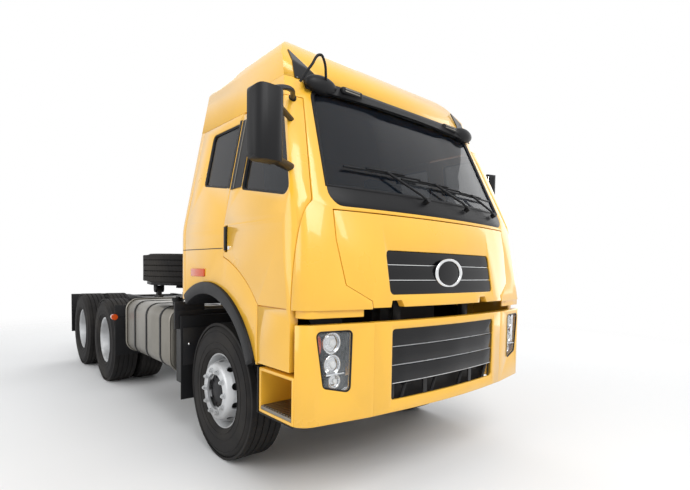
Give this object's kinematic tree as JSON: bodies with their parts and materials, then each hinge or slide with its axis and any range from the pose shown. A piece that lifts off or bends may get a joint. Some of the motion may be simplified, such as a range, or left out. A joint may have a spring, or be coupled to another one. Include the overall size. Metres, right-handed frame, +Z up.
{
  "type": "semi truck tractor unit",
  "caption": "Forward-control tractor unit with a tilting sleeper cab, steered front axle, driven twin rear axles and a rocking fifth wheel coupling for a semi-trailer.",
  "frame": {"origin": "on the ground, in the middle of the vehicle's length and width", "axes": "+X forward, +Y to the vehicle's left, +Z up"},
  "size_m": [6.8, 2.9693, 3.25],
  "materials": {
    "paint": "gloss",
    "black": "satin",
    "tyre": "matt",
    "steel": "satin",
    "alloy": "brushed",
    "silver": "satin",
    "glass": "gloss",
    "lamp": "gloss",
    "red": "gloss",
    "trim": "woven"
  },
  "bodies": {
    "chassis": {"frame": "steel", "front_axle": "steel", "rear_axles": "steel", "springs": "steel", "engine": "steel", "driveline": "steel", "radiator": "steel", "fuel_tank": "alloy", "tank_straps": "black", "silencer_and_air_tanks": "steel", "bumper_centre": "paint", "bumper_corners": "paint", "headlamps": "lamp", "lower_grille": "black", "steps": "paint", "mudguards": "black", "tail_lamps": "red", "spare_tyre": "tyre", "spare_carrier": "steel", "air_intake": "black", "fifth_wheel_base": "steel"},
    "cab": {"cab_front": "paint", "cab_roof": "paint", "cab_sides": "paint", "cab_back": "paint", "cab_floor": "black", "windscreen": "glass", "side_glass": "glass", "cowl_panel": "black", "sun_visor": "black", "wheel_arches": "black", "wipers": "black", "dashboard": "black", "seats": "trim"},
    "flap": {"front_flap": "paint", "upper_grille": "black"},
    "door_r": {"door_right": "paint", "door_glass_right": "glass", "mirror_right": "black"},
    "door_l": {"door_left": "paint", "door_glass_left": "glass", "mirror_left": "black"},
    "knuckle_r": {"knuckle_right": "steel"},
    "knuckle_l": {"knuckle_left": "steel"},
    "tie": {"tie_rod": "steel"},
    "wheel_fr": {"tyre_front_right": "tyre", "wheel_front_right": "silver"},
    "wheel_fl": {"tyre_front_left": "tyre", "wheel_front_left": "silver"},
    "wheel_mr": {"tyres_mid_right": "tyre", "wheels_mid_right": "silver"},
    "wheel_ml": {"tyres_mid_left": "tyre", "wheels_mid_left": "silver"},
    "wheel_rr": {"tyres_rear_right": "tyre", "wheels_rear_right": "silver"},
    "wheel_rl": {"tyres_rear_left": "tyre", "wheels_rear_left": "silver"},
    "fifth": {"fifth_wheel": "steel"}
  },
  "joints": [
    {"name": "cab_tilt", "type": "hinge", "parent": "chassis", "child": "cab", "pos_m": [3.28, 0, 1.1], "axis": [0, 1, 0], "range_deg": [0, 50]},
    {"name": "flap_lift", "type": "hinge", "parent": "cab", "child": "flap", "pos_m": [3.29, 0, 1.897], "axis": [0, -1, 0], "range_deg": [0, 60]},
    {"name": "door_right_swing", "type": "hinge", "parent": "cab", "child": "door_r", "pos_m": [3.16, -1.245, 1.9], "axis": [0, 0, 1], "range_deg": [0, 70]},
    {"name": "door_left_swing", "type": "hinge", "parent": "cab", "child": "door_l", "pos_m": [3.16, 1.245, 1.9], "axis": [0, 0, -1], "range_deg": [0, 70]},
    {"name": "steer_left", "type": "hinge", "parent": "chassis", "child": "knuckle_l", "pos_m": [2, 0.87, 0.54], "axis": [0, 0, 1], "range_deg": [-38, 38]},
    {"name": "steer_right", "type": "hinge", "parent": "chassis", "child": "knuckle_r", "pos_m": [2, -0.87, 0.54], "axis": [0, 0, 1], "range_deg": [-38, 38]},
    {"name": "tie_rod_ball", "type": "hinge", "parent": "knuckle_l", "child": "tie", "pos_m": [1.8, 0.87, 0.43], "axis": [0, 0, 1], "range_deg": [-38, 38]},
    {"name": "wheel_front_right_roll", "type": "hinge", "parent": "knuckle_r", "child": "wheel_fr", "pos_m": [2, -1.01, 0.54], "axis": [0, 1, 0], "continuous": true},
    {"name": "wheel_front_left_roll", "type": "hinge", "parent": "knuckle_l", "child": "wheel_fl", "pos_m": [2, 1.01, 0.54], "axis": [0, 1, 0], "continuous": true},
    {"name": "wheel_mid_right_roll", "type": "hinge", "parent": "chassis", "child": "wheel_mr", "pos_m": [-1.3, -0.915, 0.54], "axis": [0, 1, 0], "continuous": true},
    {"name": "wheel_mid_left_roll", "type": "hinge", "parent": "chassis", "child": "wheel_ml", "pos_m": [-1.3, 0.915, 0.54], "axis": [0, 1, 0], "continuous": true},
    {"name": "wheel_rear_right_roll", "type": "hinge", "parent": "chassis", "child": "wheel_rr", "pos_m": [-2.65, -0.915, 0.54], "axis": [0, 1, 0], "continuous": true},
    {"name": "wheel_rear_left_roll", "type": "hinge", "parent": "chassis", "child": "wheel_rl", "pos_m": [-2.65, 0.915, 0.54], "axis": [0, 1, 0], "continuous": true},
    {"name": "fifth_wheel_rock", "type": "hinge", "parent": "chassis", "child": "fifth", "pos_m": [-1.885, 0, 1.18], "axis": [0, 1, 0], "range_deg": [-15, 15]}
  ],
  "couplings": [
    {"joint": "steer_right", "follows": "steer_left", "ratio": 1},
    {"joint": "tie_rod_ball", "follows": "steer_left", "ratio": -1}
  ]
}
